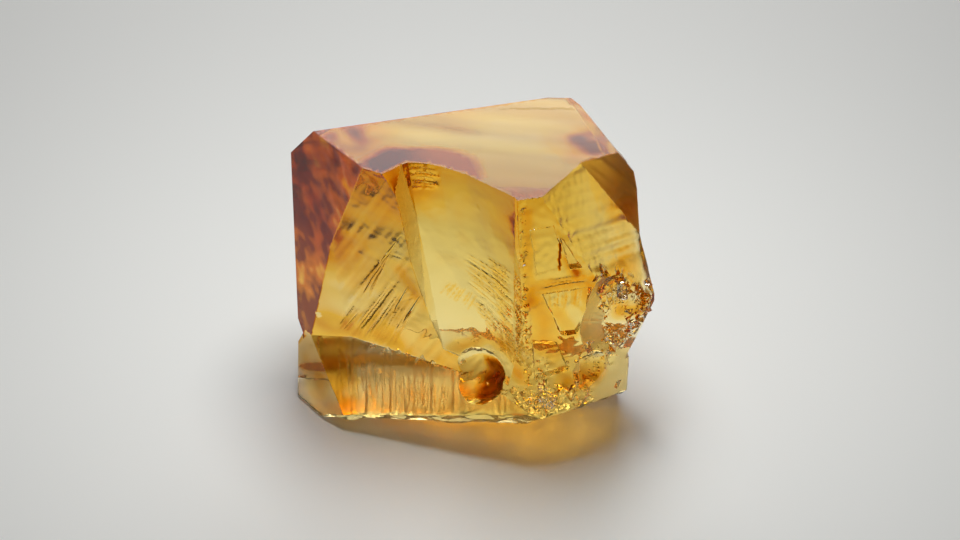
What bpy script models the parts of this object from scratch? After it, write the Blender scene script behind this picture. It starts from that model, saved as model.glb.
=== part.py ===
"""A broken piece of citrine crystal, as one solid.

The piece is a clear block with flat faces, split along straight planes on its front.
A low ledge stands out at its lower left, and small chips and shell-shaped dents mark
the places where it broke. Units in the tables are millimetres; x runs to the right,
y runs away from the front, z is up.
"""

import math
import random

import bmesh
import bpy
from mathutils import Matrix, Vector

MM = 0.001
NAME = "citrine_crystal"

# Overall size.
HEIGHT = 18.5
LEFT_SIDE = -11.3
RIGHT_FOOT = 8.75
BLANK = 40.0
MERGE = 0.002

# Corners of the flat top face, named as seen from the front.
TOP_LEFT = (-6.14, -4.21, HEIGHT)
TOP_NOTCH_LEFT = (-5.58, -4.09, HEIGHT)
TOP_PROW_LEFT = (1.93, -7.09, HEIGHT)
TOP_PROW_RIGHT = (3.48, -6.68, HEIGHT)
TOP_STEP = (5.79, -2.83, HEIGHT)
TOP_RIGHT = (7.96, -1.67, HEIGHT)
TOP_BACK_RIGHT = (5.44, 5.01, HEIGHT)
TOP_BACK_LEFT = (-9.25, 1.07, HEIGHT)

# Corners lower down.
BACK_LEFT = (LEFT_SIDE, 3.15, 15.8)
LEFT_CREASE = (-9.01, -0.14, 10.85)
SHOULDER = (9.5, -0.55, 13.53)
ELBOW = (10.7, -1.86, 9.35)
LEDGE_LEFT = (-10.44, 1.89, 3.58)
RIM_LEFT = (-5.0, -3.8, 1.5)
RIM_RIGHT = (5.1, -6.07, 3.5)

# Each flat face is an azimuth and a tilt of its outward normal, in degrees, and a
# corner that it passes through. Azimuth 0 is to the right and -90 to the front.
TOP_FACE = (0.0, 90.0, TOP_LEFT)
LEFT_FACE = (-144.8, 0.0, TOP_LEFT)
BACK_FACE = (108.0, 0.0, (-8.0, 6.3, 0.0))
LEFT_BACK_FACE = (176.0, 0.0, BACK_LEFT)
BACK_UNDERCUT = (76.0, -24.0, (5.6, 5.3, 18.0))
BACK_BEVEL = (106.7, 43.7, TOP_BACK_LEFT)
BACK_CORNER_BEVEL = (88.0, 42.0, TOP_BACK_RIGHT)
BACK_RIGHT_CORNER = (30.0, 4.0, TOP_BACK_RIGHT)
RIGHT_BEVEL = (19.0, 36.0, TOP_RIGHT)
RIGHT_FACE = (19.0, 12.0, SHOULDER)
RIGHT_UNDERCUT = (-10.0, -24.0, ELBOW)
PROW_RIGHT_FACE = (-75.0, 0.0, TOP_PROW_RIGHT)
BROKEN_RIGHT_FACE = (-46.0, -4.0, ELBOW)

# Faces of the pieces that split off the front.
GOLDEN_FACE = (-121.4, -11.9, TOP_NOTCH_LEFT)
GOLDEN_FOOT_FACE = (-109.3, -11.2, LEFT_CREASE)
PROW_LEFT_FACE = (-134.4, -3.3, TOP_PROW_LEFT)
RIGHT_SLOPE = (-31.0, 21.0, TOP_PROW_RIGHT)
RIGHT_STEP_FACE = (-62.0, 1.5, TOP_STEP)

# Faces of the ledge and the foot.
LEDGE_FACE = (-124.1, 47.7, LEDGE_LEFT)
LEDGE_END = (-145.0, 22.0, LEDGE_LEFT)
FOOT_LEFT = (180.0, 0.0, BACK_LEFT)
FOOT_BACK = (86.0, 0.0, (LEFT_SIDE, 2.5, 0.0))
FOOT_RIGHT = (5.0, 0.0, (RIGHT_FOOT, -1.8, 0.0))
FOOT_TOP = (0.0, 90.0, (0.0, 0.0, 5.4))

# Sloping faces under the rim, which lifts off the surface at the front.
UNDER_LEFT = (-93.5, -50.0, RIM_LEFT)
UNDER_RIGHT = (-61.0, -52.0, RIM_RIGHT)


def direction(azimuth, tilt):
    """The unit vector at an azimuth and a tilt in degrees."""
    a, t = math.radians(azimuth), math.radians(tilt)
    return Vector((math.cos(t) * math.cos(a), math.cos(t) * math.sin(a), math.sin(t)))


def collection(name):
    made = bpy.data.collections.new(name)
    bpy.context.scene.collection.children.link(made)
    return made


def object_from(bm, name, home):
    """A new object in a collection, from a bmesh in millimetres. The object is
    scaled to metres, so that the Booleans work on numbers near one."""
    bmesh.ops.recalc_face_normals(bm, faces=bm.faces)
    mesh = bpy.data.meshes.new(name)
    bm.to_mesh(mesh)
    bm.free()
    made = bpy.data.objects.new(name, mesh)
    made.scale = (MM, MM, MM)
    home.objects.link(made)
    return made


def cut_flat(bm, face, keep_outside=False):
    """Cut a closed bmesh with one flat face and close the cut."""
    azimuth, tilt, corner = face
    cut = bmesh.ops.bisect_plane(
        bm,
        geom=bm.verts[:] + bm.edges[:] + bm.faces[:],
        plane_co=Vector(corner),
        plane_no=direction(azimuth, tilt),
        clear_outer=not keep_outside,
        clear_inner=keep_outside,
    )
    edges = [item for item in cut["geom_cut"] if isinstance(item, bmesh.types.BMEdge)]
    if edges:
        bmesh.ops.edgeloop_fill(bm, edges=edges)


def flat_sided(name, faces, home, floor=0.0):
    """A convex solid on the floor, cut from a blank by flat faces."""
    bm = bmesh.new()
    lift = Matrix.Translation((0.0, 0.0, BLANK / 2.0 + floor))
    bmesh.ops.create_cube(bm, size=BLANK, matrix=lift)
    for face in faces:
        cut_flat(bm, face)
    return object_from(bm, name, home)


def split_piece(name, faces, home):
    """A cutter: the part of a large blank that lies outside all of the faces."""
    bm = bmesh.new()
    bmesh.ops.create_cube(bm, size=3.0 * BLANK)
    for face in faces:
        cut_flat(bm, face, keep_outside=True)
    return object_from(bm, name, home)


def hull(name, corners, home):
    """A convex solid around a few corners."""
    bm = bmesh.new()
    for corner in corners:
        bm.verts.new(corner)
    made = bmesh.ops.convex_hull(bm, input=bm.verts)
    spare = {item for item in made["geom_interior"] if isinstance(item, bmesh.types.BMVert)}
    bmesh.ops.delete(bm, geom=list(spare), context="VERTS")
    return object_from(bm, name, home)


def boolean(target, other, operation):
    """Add one EXACT Boolean to an object."""
    step = target.modifiers.new(other.name, "BOOLEAN")
    step.operation = operation
    step.solver = "EXACT"
    step.object = other
    other.hide_render = True
    other.display_type = "WIRE"


# The notch in the front, between the golden face and the prow.
NOTCH_TOP = ((-4.52, -3.06, HEIGHT), (-2.57, -3.29, HEIGHT), (-1.25, -4.09, HEIGHT), TOP_PROW_LEFT)
NOTCH_RIDGE = ((-4.35, -4.32, 16.39), (-4.03, -3.49, 12.23), (-3.19, -3.16, 8.82), (-2.21, -3.03, 5.9))
NOTCH_BOTTOM = ((-3.62, -2.33, 14.25), (-1.53, -3.03, 10.98), (0.59, -4.17, 7.93), (1.96, -5.0, 5.0))
NOTCH_SIDE = ((0.06, -4.68, 11.4), (1.17, -5.56, 8.85), (2.48, -6.94, 10.0))

# Small flat-bottomed scars on the prow: corners on its right face and a depth.
SCARS = {
    "pale_scar": (((2.75, -6.87, 16.5), (4.2, -6.48, 16.6), (4.62, -6.37, 15.2),
                   (4.64, -6.37, 13.4), (3.2, -6.75, 13.2), (3.15, -6.77, 14.9)), 0.12),
    "dark_scar": (((4.54, -6.39, 15.7), (5.9, -6.03, 13.4), (5.15, -6.23, 13.4)), 0.5),
    "lower_scar": (((3.44, -6.69, 12.1), (6.5, -5.87, 12.1), (6.38, -5.9, 10.3),
                    (5.65, -6.1, 8.8), (4.71, -6.35, 8.9), (4.39, -6.43, 10.5)), 0.35),
    "low_scar": (((3.0, -6.81, 8.8), (4.5, -6.41, 8.6), (5.3, -6.19, 6.4), (3.2, -6.76, 6.0)), 0.45),
}

# Shell-shaped dents: a point on the crystal, the azimuth and tilt that the dent
# faces, the radius of its rim and its depth.
DENTS = {
    "shell_dent": ((0.06, -4.12, 4.4), (-114.0, 42.0), 1.5, 0.85),
    "side_dent": ((6.36, -5.6, 6.0), (-46.0, 5.0), 1.25, 0.7),
    "patch_dent": ((8.3, -3.9, 8.2), (-58.0, 12.0), 1.9, 0.3),
    "left_dent": ((-9.6, 0.9, 5.2), (-130.0, 0.0), 0.8, 0.25),
}
DENT_SEGMENTS = 32

# Long narrow splits on the broken faces: the azimuth and tilt that they face, their
# width and depth in the middle, and each one's two ends.
SPLITS = {
    "prow": (PROW_LEFT_FACE[:2], 0.2, 0.1, (
        ((-0.28, -4.58, 13.28), (1.88, -6.63, 12.72)),
        ((0.03, -4.85, 12.6), (2.05, -6.73, 11.25)),
        ((0.2, -4.97, 11.45), (2.25, -6.87, 9.7)),
        ((0.45, -5.16, 10.65), (2.45, -6.98, 8.5)),
    )),
    "golden": (GOLDEN_FACE[:2], 0.2, 0.1, (
        ((-4.55, -3.52, 14.1), (-6.5, -1.6, 10.1)),
        ((-4.2, -2.75, 10.2), (-5.9, -1.0, 5.7)),
        ((-3.45, -3.0, 9.7), (-5.4, -1.2, 5.2)),
    )),
    "rim": ((-100.0, -5.0), 0.16, 0.24, (
        ((-4.15, -2.8, 18.1), (-2.3, -3.25, 18.2)),
        ((-4.1, -2.75, 17.82), (-2.25, -3.22, 17.86)),
        ((-4.0, -2.7, 17.48), (-2.3, -3.2, 17.52)),
        ((-3.9, -2.65, 17.14), (-2.35, -3.18, 17.2)),
    )),
}

# Places where the crystal shattered: a strip from one point to another, the azimuth
# and tilt that it faces, its width, the number of chips on it and the largest chip.
CRUMBS = {
    "seam": ((2.3, -7.0, 18.0), (2.85, -6.85, 4.9), (-100.0, 0.0), 0.3, 24, 0.36),
    "prow_top": ((2.0, -7.05, HEIGHT), (3.45, -6.7, HEIGHT), (-80.0, 30.0), 0.2, 6, 0.3),
    "prow_foot": ((2.4, -6.45, 4.9), (6.6, -5.55, 5.4), (-80.0, 10.0), 1.2, 20, 1.0),
    "debris": ((0.9, -4.6, 3.9), (4.7, -6.35, 4.5), (-110.0, 45.0), 1.4, 16, 1.0),
    "rim": ((1.2, -6.3, 3.4), (8.4, -3.55, 3.8), (-65.0, 20.0), 0.5, 14, 0.6),
    "ledge_back": ((-6.7, 0.0, 4.1), (-2.2, -2.7, 4.4), (-120.0, 30.0), 0.4, 10, 0.5),
    "broken_top": ((6.45, -5.5, 12.5), (9.9, -2.7, 9.9), (-46.0, 0.0), 1.5, 24, 1.0),
    "broken_edge": ((7.0, -5.3, 8.4), (4.7, -6.3, 6.4), (-60.0, 0.0), 0.4, 12, 0.55),
    "broken_side": ((9.9, -2.7, 9.0), (7.4, -4.6, 6.2), (-46.0, 0.0), 1.8, 20, 1.0),
}
CHIP_CORNERS = 9
SEED = 30


def splinter(name, corners, home):
    """A piece that split off the front: its corners on the crystal and their copies
    well in front."""
    inner = [Vector(corner) for corner in corners]
    forward = Vector((-3.0, -8.0, 0.0))
    up = Vector((0.0, 0.0, 3.0))
    raised = [corner + up for corner in inner if corner.z == HEIGHT]
    return hull(name, inner + raised + [corner + forward for corner in inner + raised], home)


def scar(name, corners, depth, facing, home):
    """A flat-bottomed cut, a little smaller at its bottom than at the surface."""
    out = direction(*facing)
    surface = [Vector(corner) for corner in corners]
    middle = sum(surface, Vector()) / len(surface)
    bottom = [corner.lerp(middle, 0.12) - out * depth for corner in surface]
    return hull(name, bottom + [corner + out * depth for corner in surface], home)


def dent(name, place, facing, radius, depth, home):
    """A shallow cap of a ball."""
    ball = (radius * radius + depth * depth) / (2.0 * depth)
    centre = Vector(place) + direction(*facing) * (ball - depth)
    bm = bmesh.new()
    bmesh.ops.create_uvsphere(
        bm, u_segments=DENT_SEGMENTS, v_segments=DENT_SEGMENTS // 2, radius=ball,
        matrix=Matrix.Translation(centre) @ direction(*facing).to_track_quat("Z", "Y").to_matrix().to_4x4(),
    )
    return object_from(bm, name, home)


def split(name, ends, facing, width, depth, home):
    """A narrow wedge pressed into a face, deepest in the middle of its length."""
    out = direction(*facing)
    start, end = Vector(ends[0]), Vector(ends[1])
    side = (end - start).cross(out).normalized() * width / 2.0
    middle = (start + end) / 2.0
    corners = [start, end, start + out, end + out, middle - out * depth]
    corners += [middle + side, middle - side, middle + side + out, middle - side + out]
    return hull(name, corners, home)


def chip(name, place, size, luck, home):
    """A sharp-cornered crumb of random shape."""
    corners = []
    for _ in range(CHIP_CORNERS):
        way = Vector((luck.gauss(0.0, 1.0), luck.gauss(0.0, 1.0), luck.gauss(0.0, 1.0))).normalized()
        corners.append(Vector(place) + way * size * luck.uniform(0.35, 0.6))
    return hull(name, corners, home)


def citrine():
    """Clear golden quartz."""
    material = bpy.data.materials.new("citrine")
    material.use_nodes = True
    shader = material.node_tree.nodes["Principled BSDF"]
    shader.inputs["Base Color"].default_value = (0.72, 0.36, 0.05, 1.0)
    shader.inputs["Roughness"].default_value = 0.03
    shader.inputs["Metallic"].default_value = 0.0
    shader.inputs["IOR"].default_value = 1.55
    shader.inputs["Transmission Weight"].default_value = 1.0
    return material


def main_form(parts, cutters):
    """The block, split along its broken faces, and the foot that grew with it."""
    crystal = flat_sided(NAME, (
        TOP_FACE, LEFT_FACE, LEFT_BACK_FACE, BACK_FACE, BACK_UNDERCUT, BACK_BEVEL,
        BACK_CORNER_BEVEL, BACK_RIGHT_CORNER, RIGHT_BEVEL, RIGHT_FACE, RIGHT_UNDERCUT,
        PROW_RIGHT_FACE, BROKEN_RIGHT_FACE,
    ), parts)
    foot = flat_sided("foot", (
        LEDGE_FACE, LEDGE_END, FOOT_LEFT, FOOT_BACK, FOOT_RIGHT, FOOT_TOP,
        PROW_RIGHT_FACE, BROKEN_RIGHT_FACE,
    ), cutters)
    for name, faces in (
        ("front_left_split", (GOLDEN_FACE, GOLDEN_FOOT_FACE, PROW_LEFT_FACE)),
        ("front_right_split", (RIGHT_SLOPE, RIGHT_STEP_FACE)),
    ):
        boolean(crystal, split_piece(name, faces, cutters), "DIFFERENCE")
    for name, corners in (
        ("notch", NOTCH_TOP + NOTCH_RIDGE + NOTCH_BOTTOM + NOTCH_SIDE),
        ("notch_tip", (TOP_NOTCH_LEFT,) + NOTCH_TOP[:2] + NOTCH_RIDGE[:1]),
    ):
        boolean(crystal, splinter(name, corners, cutters), "DIFFERENCE")
    boolean(crystal, foot, "UNION")
    for name, face in (("under_left", UNDER_LEFT), ("under_right", UNDER_RIGHT)):
        boolean(crystal, split_piece(name, (face,), cutters), "DIFFERENCE")
    return crystal


def break_marks(crystal, cutters):
    """Scars, dents, splits and crumbs on the broken faces."""
    for name, (corners, depth) in SCARS.items():
        boolean(crystal, scar(name, corners, depth, PROW_RIGHT_FACE[:2], cutters), "DIFFERENCE")
    for name, (place, facing, radius, depth) in DENTS.items():
        boolean(crystal, dent(name, place, facing, radius, depth, cutters), "DIFFERENCE")
    for face, (facing, width, depth, lines) in SPLITS.items():
        for number, ends in enumerate(lines, 1):
            name = f"{face}_split_{number}"
            boolean(crystal, split(name, ends, facing, width, depth, cutters), "DIFFERENCE")
    luck = random.Random(SEED)
    for place, (start, end, facing, width, count, size) in CRUMBS.items():
        start, end, out = Vector(start), Vector(end), direction(*facing)
        side = (end - start).cross(out).normalized()
        for number in range(count):
            spot = start.lerp(end, (number + luck.uniform(0.0, 1.0)) / count)
            spot += side * width * luck.uniform(-0.5, 0.5) + out * size * luck.uniform(-0.25, 0.25)
            made = chip(f"{place}_chip_{number + 1}", spot, size * luck.uniform(0.5, 1.3), luck, cutters)
            stays = number % 3 == 2 and spot.z < HEIGHT - 1.0
            boolean(crystal, made, "UNION" if stays else "DIFFERENCE")


def largest_piece(bm):
    """Drop what the cuts left loose, and keep the crystal itself."""
    left = set(bm.verts)
    pieces = []
    while left:
        piece = {left.pop()}
        border = list(piece)
        while border:
            for edge in border.pop().link_edges:
                for vert in edge.verts:
                    if vert not in piece:
                        piece.add(vert)
                        border.append(vert)
        left -= piece
        pieces.append(piece)
    pieces.sort(key=len)
    for piece in pieces[:-1]:
        bmesh.ops.delete(bm, geom=list(piece), context="VERTS")


def finish_solid(crystal):
    """Apply the cuts, tidy the mesh, and set the solid on the origin by the middle
    of its base."""
    scene = bpy.context.evaluated_depsgraph_get()
    mesh = bpy.data.meshes.new_from_object(crystal.evaluated_get(scene))
    bm = bmesh.new()
    bm.from_mesh(mesh)
    bmesh.ops.remove_doubles(bm, verts=bm.verts, dist=MERGE)
    largest_piece(bm)
    bmesh.ops.dissolve_degenerate(bm, dist=MERGE, edges=bm.edges)
    bmesh.ops.triangulate(bm, faces=bm.faces)
    low = Vector([min(v.co[axis] for v in bm.verts) for axis in range(3)])
    high = Vector([max(v.co[axis] for v in bm.verts) for axis in range(3)])
    middle = (low + high) / 2.0
    bmesh.ops.translate(bm, vec=(-middle.x, -middle.y, -low.z), verts=bm.verts)
    bmesh.ops.scale(bm, vec=(MM, MM, MM), verts=bm.verts)
    bm.to_mesh(mesh)
    bm.free()
    crystal.modifiers.clear()
    crystal.scale = (1.0, 1.0, 1.0)
    crystal.data = mesh


def build():
    for old in list(bpy.data.objects):
        bpy.data.objects.remove(old, do_unlink=True)
    parts = collection("Citrine crystal")
    cutters = collection("Split-off pieces")
    crystal = main_form(parts, cutters)
    break_marks(crystal, cutters)
    finish_solid(crystal)
    crystal.data.materials.append(citrine())


build()
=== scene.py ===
"""A broken block of citrine on white card under soft studio light.

The crystal is re-made from its solid with a fine mesh, face by face, and the marks of
growth and of breaking are raised on each face. Lengths are millimetres.
"""

import math
import random

import bmesh
import bpy
import numpy as np
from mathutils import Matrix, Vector, noise
from mathutils.geometry import delaunay_2d_cdt


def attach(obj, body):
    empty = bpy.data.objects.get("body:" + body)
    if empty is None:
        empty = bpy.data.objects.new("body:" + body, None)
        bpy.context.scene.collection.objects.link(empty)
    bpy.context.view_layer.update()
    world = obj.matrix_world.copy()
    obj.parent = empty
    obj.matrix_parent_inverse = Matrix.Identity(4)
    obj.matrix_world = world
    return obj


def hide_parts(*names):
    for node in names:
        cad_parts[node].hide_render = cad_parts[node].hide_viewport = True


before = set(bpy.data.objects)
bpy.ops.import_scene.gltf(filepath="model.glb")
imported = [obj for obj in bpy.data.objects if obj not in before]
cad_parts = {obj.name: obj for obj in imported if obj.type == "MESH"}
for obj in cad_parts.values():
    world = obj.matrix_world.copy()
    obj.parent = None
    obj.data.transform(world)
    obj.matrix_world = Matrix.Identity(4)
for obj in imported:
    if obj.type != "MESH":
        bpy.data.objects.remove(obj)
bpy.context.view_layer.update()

MM = 0.001
CRYSTAL_NODE = "citrine_crystal"

# Camera.
VIEW_ELEVATION = 32.0
VIEW_DISTANCE = 160.0
VIEW_TARGET = (0.471, 0.351, 9.5)
LENS_MM = 100.0
SENSOR_MM = 36.0

# Fine mesh: the length of an edge on the faces at the front, on the hidden ones, and
# on shattered ground.
FRONT_STEP = 0.13
HIDDEN_STEP = 0.4
SHATTERED_STEP = 0.075
# A face smaller than this gets points round its outline alone.
SMALL_FACE = 0.25
# Facets of the solid that lean less than this from one another are one face, and an
# edge that turns more than this stays sharp.
FLAT_ANGLE = 0.6
SHARP_ANGLE = 30.0
# Relief is never taller than this, and fades to nothing at the edge of a face.
TALLEST = 0.3
EDGE_FADE = 0.12
# No raised point is nearer than this to the outline of its face.
OUTLINE_GAP = 0.012

# The flat faces that carry marks of their own: azimuth and tilt of each one, and how
# many degrees off a face may be and still count as the one named.
GOLDEN_FACE = (-121.4, -11.9)
GOLDEN_FOOT_FACE = (-109.3, -11.2)
RIGHT_SLOPE = (-31.0, 21.0)
RIGHT_STEP_FACE = (-62.0, 1.5)
LEDGE_FACE = (-124.1, 47.7)
LEFT_FACE = (-144.8, 0.0)
SAME_FACE = 4.0

# Hackles: the ridges and grooves that a break leaves, in bundles. Each bundle has the
# two ends of its first line and of its last line, the number of lines, and their width
# and depth. Real hackles go down to a hundredth of a millimetre; these are as wide as
# they need to be to show.
HACKLES = {
    "golden upper": (
        ((-4.1, -3.3, 14.2), (-7.4, 0.4, 7.3)),
        ((-4.7, -2.7, 12.9), (-6.3, -0.6, 8.0)),
        18, 0.05, 0.035,
    ),
    "golden lower": (
        ((-4.5, -2.2, 10.7), (-7.6, 1.3, 4.2)),
        ((-3.0, -2.9, 9.7), (-5.0, -0.4, 4.1)),
        34, 0.05, 0.035,
    ),
    "golden left": (
        ((-7.0, 0.2, 7.6), (-8.4, 1.5, 4.7)),
        ((-6.4, 0.0, 6.9), (-7.9, 1.4, 4.2)),
        14, 0.045, 0.03,
    ),
    "prow fan": (
        ((0.8, -4.2, 13.3), (2.35, -5.45, 13.0)),
        ((1.5, -4.25, 8.6), (2.5, -5.6, 7.2)),
        44, 0.05, 0.08,
    ),
    "prow edge": (
        ((2.4, -5.45, 13.2), (2.95, -6.7, 13.0)),
        ((2.45, -5.2, 7.6), (3.05, -6.6, 7.0)),
        44, 0.045, 0.08,
    ),
    "prow foot": (
        ((1.3, -4.1, 9.4), (2.4, -5.5, 7.9)),
        ((1.6, -4.2, 7.0), (2.4, -5.4, 5.9)),
        14, 0.05, 0.05,
    ),
    "notch strokes": (
        ((-1.9, -2.5, 9.6), (-1.1, -2.6, 10.7)),
        ((-0.4, -3.2, 8.9), (0.3, -3.5, 10.4)),
        10, 0.05, 0.02,
    ),
    "slope upper": (
        ((8.9, -1.9, 13.9), (6.6, -5.2, 13.6)),
        ((9.6, -1.5, 12.6), (7.9, -4.2, 12.2)),
        24, 0.055, 0.08,
    ),
    "notch rim": (
        ((-4.0, -2.5, 18.2), (-1.6, -2.9, 18.25)),
        ((-3.6, -2.3, 16.6), (-1.9, -2.8, 16.9)),
        6, 0.1, 0.16,
    ),
    "under scar": (
        ((3.6, -6.5, 12.9), (6.9, -5.6, 12.9)),
        ((3.6, -6.5, 12.1), (6.9, -5.6, 12.1)),
        8, 0.06, 0.05,
    ),
    "ledge lines": (
        ((-8.3, 1.0, 3.5), (-7.9, -2.0, 1.4)),
        ((-1.4, -3.3, 3.7), (-1.4, -4.6, 2.3)),
        70, 0.045, 0.06,
    ),
    "scar lines": (
        ((4.6, -6.1, 12.0), (4.6, -6.1, 10.3)),
        ((6.4, -5.7, 12.0), (6.3, -5.7, 10.6)),
        14, 0.05, 0.035,
    ),
    "prow veil": (
        ((-0.6, -2.88, 13.0), (1.9, -5.06, 12.2)),
        ((0.2, -3.0, 8.6), (2.2, -4.7, 6.6)),
        26, 0.04, 0.05,
    ),
}
# A bundle lies on a face when its ends are this near to the face's plane.
BUNDLE_REACH = 0.7

# The way that the break ran on three faces.
GOLDEN_GRAIN = (-0.39, 0.44, -0.81)
SLOPE_GRAIN = (-0.52, -0.85, 0.0)
STEP_GRAIN = (0.6, 0.3, -0.7)

# Shattered places: a middle, a radius, and the height of the relief.
SHATTERED = (
    ((8.4, -3.6, 9.9), 1.8, 0.20),
    ((9.6, -2.6, 9.2), 1.3, 0.20),
    ((8.7, -3.4, 8.5), 1.5, 0.18),
    ((8.4, -4.2, 7.4), 1.5, 0.14),
    ((7.2, -4.8, 8.6), 1.2, 0.16),
    ((7.4, -4.5, 6.2), 1.2, 0.12),
    ((1.6, -5.2, 3.9), 1.1, 0.16),
    ((3.0, -6.2, 4.6), 1.2, 0.18),
    ((4.6, -5.9, 4.4), 1.5, 0.20),
    ((6.4, -5.2, 4.2), 1.2, 0.16),
    ((4.2, -6.2, 6.6), 1.0, 0.10),
    ((-0.2, -3.4, 6.7), 1.2, 0.04),
    ((1.5, -4.7, 6.3), 1.3, 0.05),
)
# The seam down the prow is shattered too: its two ends, the height of the relief, and
# how far from the line it starts to fade and is gone.
SEAM = ((2.8, -6.7, 18.0), (3.35, -6.5, 4.9))
SEAM_RELIEF = 0.12
SEAM_REACH = (0.12, 0.4)
# The sides of the large and of the small splinters.
SPLINTER = 0.8
SMALL_SPLINTER = 0.35

# Stains on the grown back: a middle, a radius and a strength.
STAINS = (
    ((-7.6, 6.0, 10.9), 1.9, 0.95),
    ((7.2, 3.4, 13.2), 1.6, 1.2),
    ((7.2, 1.5, 9.0), 1.2, 0.7),
)
# Darker growth under the top face: its middle, its two radii, and its strength at
# the right and at the left.
TOP_STAIN = ((-3.0, -4.3), (3.6, 3.8), (0.72, 1.0))
# Tinted streaks and patches of painted shade on the broken faces: two ends, a radius and a
# strength.
STREAKS_AND_SHADE = (
    ((3.15, -6.6, 17.5), (3.3, -6.55, 11.5), 0.35, 0.25),
    ((3.7, -6.4, 11.5), (4.6, -6.1, 8.4), 0.7, 0.3),
    ((4.0, -6.2, 8.6), (5.0, -5.9, 7.6), 0.7, 0.3),
    ((5.45, -5.9, 14.2), (6.0, -5.7, 13.1), 0.3, 0.75),
    ((1.6, -4.5, 7.2), (2.8, -6.1, 6.4), 0.6, 0.5),
    ((-1.3, -3.0, 5.9), (0.9, -3.9, 7.4), 0.4, 0.3),
    ((5.6, -5.5, 5.6), (7.4, -4.8, 5.4), 0.7, 0.45),
    ((8.9, -3.3, 8.9), (10.0, -2.6, 8.6), 0.5, 0.6),
    ((-4.1, -2.5, 11.2), (-3.4, -2.6, 9.6), 0.5, 0.3),
    ((3.6, -6.4, 12.6), (6.4, -5.6, 12.5), 0.35, 0.2),
    ((5.2, -5.9, 10.2), (5.9, -5.7, 9.0), 0.45, 0.25),
    ((-4.0, -2.4, 16.7), (-3.2, -2.6, 16.5), 0.8, 0.35),
    ((9.2, -1.6, 14.6), (9.9, -2.0, 11.9), 0.8, 0.8),
    ((7.4, -4.6, 12.4), (9.2, -2.8, 12.0), 1.2, 0.4),
    ((-9.4, 1.6, 4.8), (-7.2, 0.6, 4.5), 0.9, 0.25),
    ((-10.8, 2.9, 3.2), (-9.3, 0.2, 1.6), 1.0, 0.42),
    ((-5.6, 0.0, 4.9), (-4.6, -0.7, 4.7), 0.7, 0.12),
)

# The shell-shaped chip: its middle, its radius, the place where it was struck, the way
# that it faces, and its ripples.
SHELL = (0.53, -3.77, 4.4)
SHELL_RADIUS = 1.55
SHELL_START = (-0.7, -3.2, 5.6)
SHELL_WAY = (-110.0, 0.0)
RIPPLE_SPACING = 0.5
RIPPLE_HEIGHT = 0.045

# Roughness of fresh breaks, of grown faces and of etched ones.
GLASSY = 0.02
GROWN = 0.09
ETCHED = 0.42

# Citrine's colour, as the light that is left over a depth of one over the density.
GOLD = "FCE727"
GOLD_PER_M = 240.0
QUARTZ_IOR = 1.55
# Reflections are held down, as through a polarising filter.
REFLECTION = "181818"
# The colour of an iron stain and of painted shade, from none to the deepest.
IRON_STAIN_AND_SHADE = (
    (0.0, "FFFFFF"),
    (0.12, "FFDB7C"),
    (0.4, "F3A21A"),
    (0.7, "B23C00"),
    (1.0, "430600"),
)
WHITE_CARD = "EDECE8"

# Lights: a place, what each is aimed at, its two sides, its radiance and its colour.
SOFTBOXES = {
    "overhead_softbox": ((0.0, 5.0, 66.0), (0.0, 5.0, 0.0), (25.5, 41.0), 12.6, "FAFCFC"),
    "background_softbox": ((0.0, 105.0, 90.0), (0.0, 105.0, 0.0), (110.0, 90.0), 1.95, "FAFBFC"),
    "back_card": ((0.0, 420.0, 272.0), (0.0, 0.0, 0.0), (270.0, 270.0), 1.8, "F4F6FA"),
}
ROOM_LIGHT = 0.08


def linear(hex_colour):
    """An sRGB hex colour as linear RGBA."""
    out = []
    for place in (0, 2, 4):
        value = int(hex_colour[place:place + 2], 16) / 255.0
        out.append(value / 12.92 if value <= 0.04045 else ((value + 0.055) / 1.055) ** 2.4)
    return (*out, 1.0)


def add_node(tree, kind, inputs=None, **settings):
    """Add one node: its settings by name, and its inputs as values or as sockets."""
    node = tree.nodes.new(kind)
    for name, value in settings.items():
        setattr(node, name, value)
    for name, value in (inputs or {}).items():
        if isinstance(value, bpy.types.NodeSocket):
            tree.links.new(value, node.inputs[name])
        else:
            node.inputs[name].default_value = value
    return node


def direction(azimuth, tilt):
    """The unit vector at an azimuth and a tilt in degrees; -90 is to the front."""
    a, t = math.radians(azimuth), math.radians(tilt)
    return Vector((math.cos(t) * math.cos(a), math.cos(t) * math.sin(a), math.sin(t)))


def is_face(normal, face):
    """Whether a normal is that of a named face."""
    return normal.angle(direction(*face)) < math.radians(SAME_FACE)


def ramp(values, low, high):
    """0 below low, 1 above high, smooth between."""
    t = np.clip((values - low) / (high - low), 0.0, 1.0)
    return t * t * (3.0 - 2.0 * t)


# Random patterns that are the same in each run. A seed tells one from another.

def clouds(points, size, seed):
    """Smooth random values from about -0.6 to 0.6, with clouds of a size in mm."""
    shift = Vector((seed * 7.3, seed * 3.1, seed * 5.7))
    return np.array([noise.noise(Vector(p) / size + shift) for p in points])


def drift(place, seed):
    """A smooth random vector."""
    return Vector([
        noise.noise(place + Vector((seed, 11.3 * axis, -7.9 * axis))) for axis in range(3)
    ])


def stripes(values, seed):
    """Random heights that change along one number alone."""
    return np.array([noise.noise(Vector((v, seed * 4.1, 0.5))) for v in values])


def grain(points, normal, way, wide, seed):
    """Fine lines that run one way over a face, from -1 to 1."""
    across = points @ np.array(normal.cross(Vector(way)).normalized())
    lines = stripes(across / wide, seed) + 0.7 * stripes(across / (0.45 * wide), seed + 1)
    fade = 0.6 + 0.8 * clouds(points, 1.6, seed)
    return lines * np.clip(fade, 0.0, 1.2)


# Hackles and shattered ground.

def line_gap(points, start, end):
    """The distance from each point to a straight line between two places."""
    start, along = np.array(start), np.array(end) - np.array(start)
    t = np.clip((points - start) @ along / (along @ along), 0.0, 1.0)
    return np.linalg.norm(points - start - t[:, None] * along, axis=1)


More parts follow.
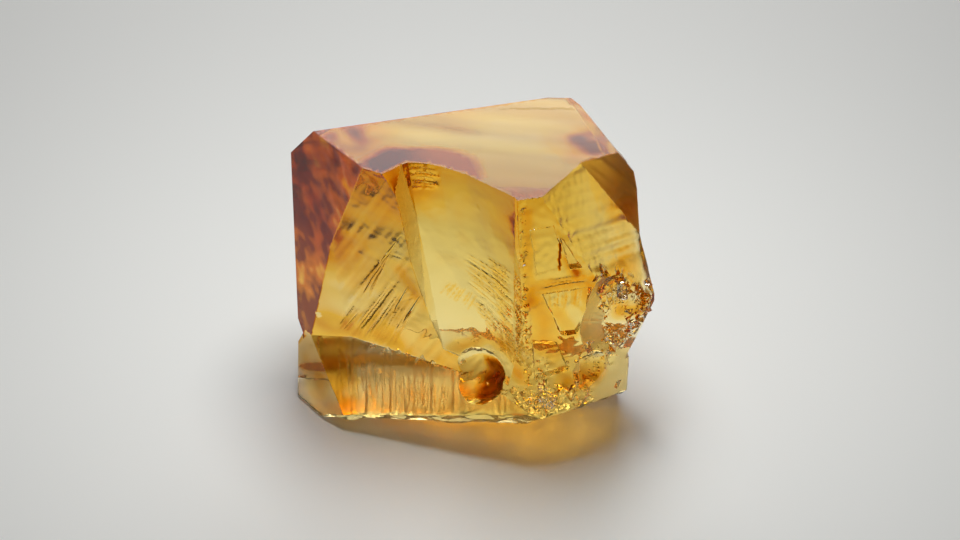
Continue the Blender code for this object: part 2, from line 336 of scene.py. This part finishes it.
def hackle_lines(corner, normal):
    """The hackles that lie on a flat face: start, end, width and depth of each."""
    lines = []
    for number, (first, last, count, width, depth) in enumerate(HACKLES.values()):
        luck = random.Random(number + 1)
        corners = [Vector(p) for p in first + last]
        if max(abs(normal.dot(corner - p)) for p in corners) > BUNDLE_REACH:
            continue
        for line in range(count):
            part = (line + luck.uniform(-0.35, 0.35)) / max(1, count - 1)
            full_start = corners[0].lerp(corners[2], part)
            full_end = corners[1].lerp(corners[3], part)
            start = full_start.lerp(full_end, luck.uniform(0.0, 0.2))
            end = full_start.lerp(full_end, luck.uniform(0.8, 1.0))
            deep = depth * luck.choice((-1.0, -1.0, 1.0)) * luck.uniform(0.4, 1.2)
            start += normal * normal.dot(corner - start)
            end += normal * normal.dot(corner - end)
            lines.append((start, end, width * luck.uniform(0.6, 1.3), deep))
    return lines


def hackle_marks(points, lines):
    """Grooves and ridges along the hackles, fading towards both ends; with how much
    of each point is on a ridge and in a groove."""
    height, ridge, groove = (np.zeros(len(points)) for _ in range(3))
    for start, end, width, depth in lines:
        along = np.array(end - start)
        t = (points - np.array(start)) @ along / (along @ along)
        near = np.clip(t, 0.0, 1.0)
        away = np.linalg.norm(points - np.array(start) - near[:, None] * along, axis=1)
        part = np.exp(-(away / width) ** 2) * np.sqrt(np.sin(np.pi * near))
        height += depth * part
        if depth > 0.0:
            ridge = np.maximum(ridge, part)
        else:
            groove = np.maximum(groove, part)
    return height, ridge, groove


def splinters(points, size, seed):
    """Small tilted facets side by side, as on shattered quartz."""
    out = np.zeros(len(points))
    for i, p in enumerate(points):
        place = Vector(p) / size
        middle = noise.voronoi(place)[1][0]
        lean = drift(middle * 3.7, seed)
        out[i] = (place - middle).dot(lean) * 2.2 + noise.noise(middle * 5.3)
    return out


def shatter_marks(points):
    """Shattered ground, and how much of it there is at each point."""
    much = np.zeros(len(points))
    tall = np.zeros(len(points))
    for middle, radius, height in SHATTERED:
        away = np.linalg.norm(points - np.array(middle), axis=1) / radius
        part = 1.0 - ramp(away, 0.55, 1.0)
        tall = np.maximum(tall, part * height)
        much = np.maximum(much, part)
    part = 1.0 - ramp(line_gap(points, *SEAM), *SEAM_REACH)
    tall = np.maximum(tall, part * SEAM_RELIEF)
    much = np.maximum(much, part)
    height = np.zeros(len(points))
    on = np.nonzero(much > 0.01)[0]
    if len(on):
        facets = splinters(points[on], SPLINTER, 1)
        facets += 0.5 * splinters(points[on], SMALL_SPLINTER, 2)
        height[on] = facets * tall[on]
    return height, much


# The marks of each kind of face. Each takes points on one flat face and gives their
# height above it, their frost, which is the roughness, and their amber, which is how
# deep the stain or the painted shade is.

def uneven(points):
    """The gentle unevenness of a clean face."""
    return 0.012 * clouds(points, 2.2, 1) + 0.004 * clouds(points, 0.7, 2)


def shelf_marks(points):
    """An etched step at the foot."""
    return uneven(points), np.full(len(points), ETCHED), np.zeros(len(points))


def top_marks(points):
    """The grown top: faint steps at the right, and darker growth in the middle."""
    x, y = points[:, 0], points[:, 1]
    height = 0.02 * stripes(y / 0.4, 12) * ramp(x, -2.0, 1.0)
    middle, (wide, long), (right, left) = TOP_STAIN
    away = np.abs((x - middle[0]) / wide) ** 3 + np.abs((y - middle[1]) / long) ** 3
    edge = away ** (1 / 3) + 0.12 * clouds(points, 1.5, 13)
    deep = right + (left - right) * ramp(-x, 2.2, 4.2)
    amber = deep * (1.0 - ramp(edge, 0.88, 1.06))
    return height, np.full(len(points), GLASSY), amber


def ledge_marks(points, lines):
    """The ledge at the foot: frosty ridges down it, and painted shade: deeper amber at its left
    end and in its grooves.
    """
    x = points[:, 0]
    height = 0.12 * stripes(x / 0.5, 1) + 0.16 * stripes(x / 0.24, 2)
    height *= 0.5 + 1.2 * clouds(points, 1.5, 3)
    marks, ridge, groove = hackle_marks(points, lines)
    # Painted shade: darker in the grooves and towards the left end.
    amber = 0.05 * groove + 0.42 * ramp(-x + 0.5 * clouds(points, 0.8, 25), 6.4, 8.2)
    return height + marks, 0.3 + 0.1 * ridge, amber


def base_marks(points):
    """The etched base."""
    height = 0.05 * clouds(points, 1.5, 4)
    return height, np.full(len(points), ETCHED), np.zeros(len(points))


def underside_marks(points):
    """The lumpy breaks that lean in over the base."""
    height = 0.3 * clouds(points, 1.3, 5) + 0.05 * clouds(points, 0.5, 18)
    return height, np.full(len(points), GROWN), np.zeros(len(points))


def back_marks(points):
    """The grown back: growth steps across it, and stains that deepen to the top."""
    x, z = points[:, 0], points[:, 2]
    height = 0.07 * stripes(z / 1.4, 3) + 0.04 * stripes(z / 0.7, 4)
    height += 0.08 * clouds(points, 3.0, 6)
    amber = 0.06 * ramp(-x, 2.0, 6.0) * ramp(z, 5.4, 7.0)
    amber += ramp(z, 11.5, 15.0) * (0.12 + 0.2 * ramp(-x, -1.5, 2.0))
    amber += 0.2 * ramp(z, 14.5, 16.0)
    for middle, radius, deep in STAINS:
        away = np.linalg.norm(points - np.array(middle), axis=1) / radius
        amber += deep * np.exp(-away ** 2) * (1.0 + clouds(points, 1.2, 10))
    return height, np.full(len(points), GROWN), amber


def right_side_marks(points, normal):
    """The frosted right side, smoother where it looks up."""
    height = 0.1 * stripes(points[:, 2] / 0.5 + points[:, 1] / 1.5, 14)
    frost = 0.22 if normal.z > 0.3 else 0.77
    return height, np.full(len(points), frost), np.zeros(len(points))


def break_marks(points, normal, lines):
    """The breaks at the front: glassy, with hackles, grain, tinted streaks, patches of
    painted shade and shattered ground. The grooves are tinted darker as painted shade."""
    marks, ridge, groove = hackle_marks(points, lines)
    height = uneven(points) + marks
    frost = GLASSY + 0.03 + 0.3 * ridge
    # Painted shade: the grooves are tinted darker.
    amber = 0.2 * groove + 0.06 * clouds(points, 1.2, 17)
    if is_face(normal, GOLDEN_FACE):
        fine = grain(points, normal, GOLDEN_GRAIN, 0.5, 20)
        height += 0.05 * fine
        frost += 0.08 * np.abs(fine)
        amber += 0.12 * fine
    elif is_face(normal, RIGHT_SLOPE):
        fine = grain(points, normal, SLOPE_GRAIN, 0.5, 22)
        height += 0.05 * fine
        amber += 0.14 * fine
    elif is_face(normal, RIGHT_STEP_FACE):
        height += 0.14 * grain(points, normal, STEP_GRAIN, 0.6, 24)
        frost += 0.7
    # Tinted streaks, and patches of painted shade where the faces look darker.
    for start, end, radius, deep in STREAKS_AND_SHADE:
        away = line_gap(points, start, end) / radius
        amber += deep * np.exp(-away ** 2) * (1.0 + 0.6 * clouds(points, 1.3, 15))
    rough, much = shatter_marks(points)
    return height + rough, frost + 0.05 * much, amber


def shell_amber(points):
    """The tint in the shell-shaped chip: light at its left and dark at its right."""
    right = points[:, 0] - SHELL[0] + 0.5 * (SHELL[2] + 0.3 - points[:, 2])
    return 0.12 + 0.85 * ramp(right + 0.7 * clouds(points, 0.7, 19), -0.1, 0.8)


def left_face_amber(points):
    """The deep amber of the left face, in streaks and clouds; much of its darkness is painted
    shade, deepest towards its foot.
    """
    z = points[:, 2] + 2.5 * clouds(points, 2.0, 7)
    amber = 0.8 + 0.14 * ramp(z, 9.2, 10.6)
    # Painted shade: darker towards the foot.
    amber += 0.34 * ramp(-z, -8.6, -6.4) - 0.12 * ramp(z, 13.6, 15.4)
    return amber + 0.42 * clouds(points, 1.7, 8) + 0.26 * clouds(points, 0.6, 16)


def golden_face_amber(points):
    """The pale stain of the golden face, deeper at its foot."""
    return 0.15 + 0.1 * clouds(points, 1.8, 9) + 0.14 * ramp(-points[:, 2], -8.5, -5.0)


def face_marks(points, normal, lines):
    """Height, frost and amber for points on one flat face of any kind."""
    ledge = is_face(normal, LEDGE_FACE)
    if normal.z > 0.98 and points[0][2] < 10.0:
        height, frost, amber = shelf_marks(points)
    elif normal.z > 0.98:
        height, frost, amber = top_marks(points)
    elif ledge:
        height, frost, amber = ledge_marks(points, lines)
    elif normal.z < -0.9:
        height, frost, amber = base_marks(points)
    elif normal.z < -0.5:
        height, frost, amber = underside_marks(points)
    elif normal.y > 0.3:
        height, frost, amber = back_marks(points)
    elif normal.x > 0.7:
        height, frost, amber = right_side_marks(points, normal)
    else:
        height, frost, amber = break_marks(points, normal, lines)
    inside = np.linalg.norm(points - np.array(SHELL), axis=1) < SHELL_RADIUS
    if inside.any() and abs(normal.z) < 0.97 and not ledge:
        amber = np.where(inside, shell_amber(points), amber)
    if is_face(normal, LEFT_FACE):
        frost = frost + 0.2
        amber = left_face_amber(points)
    elif is_face(normal, GOLDEN_FACE) or is_face(normal, GOLDEN_FOOT_FACE):
        amber = amber + golden_face_amber(points)
    return height, frost, np.clip(amber, 0.0, 1.0)


# Marks that cross from face to face.

def wander(points):
    """The small unevenness of broken edges, strongest on the right of the prow."""
    out = points.copy()
    for i, p in enumerate(points):
        front = min(1.0, max(0.0, (1.0 - p[1]) / 2.0))
        right = min(1.0, max(0.0, (-5.2 - p[1]) / 0.3))
        right *= min(1.0, max(0.0, (p[0] - 2.9) / 0.4))
        fine = drift(Vector(p) / 0.4, 0.0)
        broad = drift(Vector(p) / 1.3, 5.0)
        lift = 1.0 if 0.3 < p[2] < 18.2 else 0.0
        for axis in range(3):
            shift = fine[axis] * (0.015 + 0.035 * right) + broad[axis] * 0.04
            out[i, axis] += lift * front * shift
    return out


def shell_ripples(points):
    """Ripples in the shell-shaped chip, round the place where it was struck."""
    away = np.linalg.norm(points - np.array(SHELL), axis=1)
    rings = np.linalg.norm(points - np.array(SHELL_START), axis=1)
    height = RIPPLE_HEIGHT * np.sin(2.0 * math.pi * rings / RIPPLE_SPACING)
    height *= 1.0 - ramp(away, 1.2, 1.5)
    return points + height[:, None] * np.array(direction(*SHELL_WAY))


# The crystal's mesh.

def flat_faces(node):
    """The solid's flat faces as polygons, in millimetres."""
    bm = bmesh.new()
    bm.from_mesh(node.data)
    bmesh.ops.scale(bm, vec=(1.0 / MM,) * 3, verts=bm.verts)
    bmesh.ops.remove_doubles(bm, verts=bm.verts, dist=0.0005)
    bmesh.ops.dissolve_limit(
        bm, angle_limit=math.radians(FLAT_ANGLE), verts=bm.verts, edges=bm.edges,
    )
    bm.verts.index_update()
    bm.edges.index_update()
    return bm


def step_of(face):
    """How far apart a face's points are."""
    front = face.normal.y < 0.25 and -0.8 < face.normal.z < 0.9
    return FRONT_STEP if front else HIDDEN_STEP


def edge_points(bm, points):
    """Divide each edge evenly, and give the points between its ends."""
    between = {}
    for edge in bm.edges:
        step = min(step_of(face) for face in edge.link_faces)
        parts = max(1, math.ceil(edge.calc_length() / step))
        start, end = edge.verts
        row = []
        for part in range(1, parts):
            row.append(len(points))
            points.append(tuple(start.co.lerp(end.co, part / parts)))
        between[edge.index] = (start.index, row)
    return between


def face_outline(face, between):
    """The points round a face, in order."""
    outline = []
    for loop in face.loops:
        outline.append(loop.vert.index)
        first, row = between[loop.edge.index]
        outline += row if first == loop.vert.index else row[::-1]
    return outline


def outline_gap(places, ring):
    """The distance from each point to the nearest side of a closed outline."""
    gap = np.full(len(places), 10.0)
    for start, end in zip(ring, np.roll(ring, -1, axis=0)):
        along = end - start
        t = np.clip((places - start) @ along / max(1e-12, along @ along), 0.0, 1.0)
        gap = np.minimum(gap, np.linalg.norm(places - start - t[:, None] * along, axis=1))
    return gap


def even_points(flat, step):
    """Points a step apart, in rows over the box round a flat outline."""
    low = [min(p[axis] for p in flat) for axis in (0, 1)]
    high = [max(p[axis] for p in flat) for axis in (0, 1)]
    if max(high[0] - low[0], high[1] - low[1]) <= SMALL_FACE:
        return []
    apart = step * 0.866
    rows = int((high[1] - low[1]) / apart) + 1
    columns = int((high[0] - low[0]) / step) + 2
    return [
        Vector((low[0] + (column + 0.5 * (row % 2)) * step, low[1] + (row + 0.5) * apart))
        for row in range(rows) for column in range(columns)
    ]


def shattered_points(inside, places, step):
    """More points, close round those that lie on shattered ground."""
    much = shatter_marks(places)[1]
    turns = 1 + int(2.2 * (step / SHATTERED_STEP - 1.0))
    more = []
    for i in np.nonzero(much > 0.2)[0]:
        for turn in range(turns):
            angle = 2.4 * (turn + i)
            more.append(inside[i] + Vector((math.cos(angle), math.sin(angle))) * step * 0.45)
    return more


def hackle_points(lines, across, up):
    """More points, in rows along each hackle."""
    more = []
    for start, end, width, _ in lines:
        a, b = (Vector((p.dot(across), p.dot(up))) for p in (start, end))
        side = Vector((a.y - b.y, b.x - a.x)).normalized() * width
        rows = max(2, int((b - a).length / 0.2))
        for row in range(rows + 1):
            for shift in (-1.3, -0.5, 0.5, 1.3):
                more.append(a.lerp(b, row / rows) + side * shift)
    return more


def fill_face(face, between, points, marks):
    """Triangles over one flat face, with a raised point about every step."""
    step = step_of(face)
    normal = face.normal
    across = normal.orthogonal().normalized()
    up = normal.cross(across)

    def lift(flat_points, level):
        """Points drawn on the flat face, as places in space."""
        return np.array([(across * p.x + up * p.y + normal * level)[:] for p in flat_points])

    outline = face_outline(face, between)
    flat = [Vector((Vector(points[i]).dot(across), Vector(points[i]).dot(up))) for i in outline]
    corner = Vector(points[outline[0]])
    lines = hackle_lines(corner, normal)
    inside = even_points(flat, step)
    if inside:
        inside += shattered_points(inside, lift(inside, normal.dot(corner)), step)
    inside += hackle_points(lines, across, up)
    if inside:
        gap = outline_gap(np.array([p[:] for p in inside]), np.array([p[:] for p in flat]))
        inside = [p for p, g in zip(inside, gap) if g > OUTLINE_GAP]
    ring = list(range(len(outline)))
    made, _, triangles, sources = delaunay_2d_cdt(flat + inside, [], [ring], 1, 1e-5)[:4]
    known, new = {}, []
    for i in sorted({i for triangle in triangles for i in triangle}):
        own = [source for source in sources[i] if source < len(outline)]
        if own:
            known[i] = outline[own[0]]
        else:
            known[i] = len(points) + len(new)
            new.append(made[i])
    ring_places = np.array([points[i] for i in outline])
    _, frost, amber = face_marks(ring_places, normal, lines)
    for i, f, a in zip(outline, frost, amber):
        marks.setdefault(i, (f, a))
    if new:
        places = lift(new, normal.dot(face.calc_center_median()))
        height, frost, amber = face_marks(places, normal, lines)
        height = np.clip(height, -TALLEST, TALLEST)
        height *= ramp(outline_gap(places, ring_places), 0.0, EDGE_FADE)
        places += height[:, None] * np.array(normal)
        for i, f, a in zip(range(len(points), len(points) + len(new)), frost, amber):
            marks[i] = (f, a)
        points += [tuple(p) for p in places]
    return [tuple(known[i] for i in triangle) for triangle in triangles]


def refine(node):
    """The solid as a fine triangle mesh: points, triangles and each point's marks."""
    bm = flat_faces(node)
    points = [tuple(vert.co) for vert in bm.verts]
    between = edge_points(bm, points)
    marks = {}
    triangles = []
    for face in bm.faces:
        triangles += fill_face(face, between, points, marks)
    bm.free()
    return np.array(points), triangles, marks


def crystal(node):
    """The block of citrine, in place of its solid."""
    points, triangles, marks = refine(node)
    points = shell_ripples(wander(points))
    mesh = bpy.data.meshes.new("citrine")
    mesh.from_pydata((points * MM).tolist(), [], triangles)
    for place, name in enumerate(("frost", "amber")):
        layer = mesh.attributes.new(name, "FLOAT", "POINT")
        layer.data.foreach_set("value", [marks[i][place] for i in range(len(points))])
    bm = bmesh.new()
    bm.from_mesh(mesh)
    bmesh.ops.recalc_face_normals(bm, faces=bm.faces)
    bm.to_mesh(mesh)
    bm.free()
    mesh.shade_smooth()
    mesh.set_sharp_from_angle(angle=math.radians(SHARP_ANGLE))
    made = bpy.data.objects.new("citrine", mesh)
    bpy.context.scene.collection.objects.link(made)
    made.data.materials.append(citrine_quartz())
    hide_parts(CRYSTAL_NODE)
    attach(made, "root")


def citrine_quartz():
    """Citrine: clear quartz coloured by iron, left as it grew and as it broke. It looks
    warm gold, deeper where the light goes further through it. Fresh breaks are glassy,
    hackles catch the light as pale frost, and grown and etched faces blur what is
    behind them. Iron stains the back deep amber; the left side is deep amber, much of it
    painted shade, and painted shade darkens grooves, patches of the breaks and the ledge."""
    material = bpy.data.materials.new("citrine quartz")
    material.use_nodes = True
    tree = material.node_tree
    tree.nodes.clear()
    frost = add_node(tree, "ShaderNodeAttribute", attribute_name="frost")
    amber = add_node(tree, "ShaderNodeAttribute", attribute_name="amber")
    # The ramp tints both stains and painted shade.
    stain = add_node(tree, "ShaderNodeValToRGB", {"Fac": amber.outputs["Fac"]})
    stops = stain.color_ramp.elements
    for deep, _ in IRON_STAIN_AND_SHADE[1:-1]:
        stops.new(deep)
    for stop, (_, colour) in zip(stops, IRON_STAIN_AND_SHADE):
        stop.color = linear(colour)
    shader = add_node(tree, "ShaderNodeBsdfPrincipled", {
        "Base Color": stain.outputs["Color"],
        "Roughness": frost.outputs["Fac"],
        "IOR": QUARTZ_IOR,
        "Specular Tint": linear(REFLECTION),
        "Transmission Weight": 1.0,
    })
    gold = add_node(tree, "ShaderNodeVolumeAbsorption", {
        "Color": linear(GOLD),
        "Density": GOLD_PER_M,
    })
    add_node(tree, "ShaderNodeOutputMaterial", {
        "Surface": shader.outputs["BSDF"],
        "Volume": gold.outputs["Volume"],
    })
    return material


# The studio.

def card():
    """White card: matt, slightly warm paper board."""
    bpy.ops.mesh.primitive_plane_add(size=2.0, location=(0.0, 0.0, -0.0002))
    made = bpy.context.object
    made.name = "paper"
    material = bpy.data.materials.new("white card")
    material.use_nodes = True
    shader = material.node_tree.nodes["Principled BSDF"]
    shader.inputs["Base Color"].default_value = linear(WHITE_CARD)
    shader.inputs["Roughness"].default_value = 0.9
    shader.inputs["Specular IOR Level"].default_value = 0.1
    made.data.materials.append(material)


def softbox(name, place, aim, size, radiance, colour):
    """An oval of soft light at a place, aimed at another; in mm and W/sr/m2."""
    light = bpy.data.lights.new(name, "AREA")
    light.shape = "ELLIPSE"
    light.size, light.size_y = (side * MM for side in size)
    light.color = linear(colour)[:3]
    light.energy = radiance * math.pi * math.pi * light.size * light.size_y / 4.0
    made = bpy.data.objects.new(name, light)
    made.location = Vector(place) * MM
    made.rotation_euler = (Vector(place) - Vector(aim)).to_track_quat("Z", "Y").to_euler()
    made.visible_camera = False
    bpy.context.scene.collection.objects.link(made)


def studio():
    """White card under soft light, in a dim room. Light may bend often in the crystal."""
    card()
    for name, light in SOFTBOXES.items():
        softbox(name, *light)
    room = bpy.data.worlds.new("room")
    room.use_nodes = True
    background = room.node_tree.nodes["Background"]
    background.inputs["Color"].default_value = (1.0, 1.0, 1.0, 1.0)
    background.inputs["Strength"].default_value = ROOM_LIGHT
    scene = bpy.context.scene
    scene.world = room
    scene.view_settings.view_transform = "Standard"
    scene.cycles.max_bounces = 24
    scene.cycles.transmission_bounces = 24
    scene.cycles.glossy_bounces = 24
    scene.cycles.diffuse_bounces = 4
    scene.cycles.sample_clamp_indirect = 10.0


def camera():
    """A 100 mm lens, looking down on the front."""
    data = bpy.data.cameras.new("camera")
    data.lens = LENS_MM
    data.sensor_width = SENSOR_MM
    data.clip_start = 0.01
    made = bpy.data.objects.new("camera", data)
    back = direction(-90.0, VIEW_ELEVATION)
    made.location = (Vector(VIEW_TARGET) + back * VIEW_DISTANCE) * MM
    made.rotation_euler = back.to_track_quat("Z", "Y").to_euler()
    bpy.context.scene.collection.objects.link(made)
    bpy.context.scene.camera = made


crystal(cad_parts[CRYSTAL_NODE])
studio()
camera()
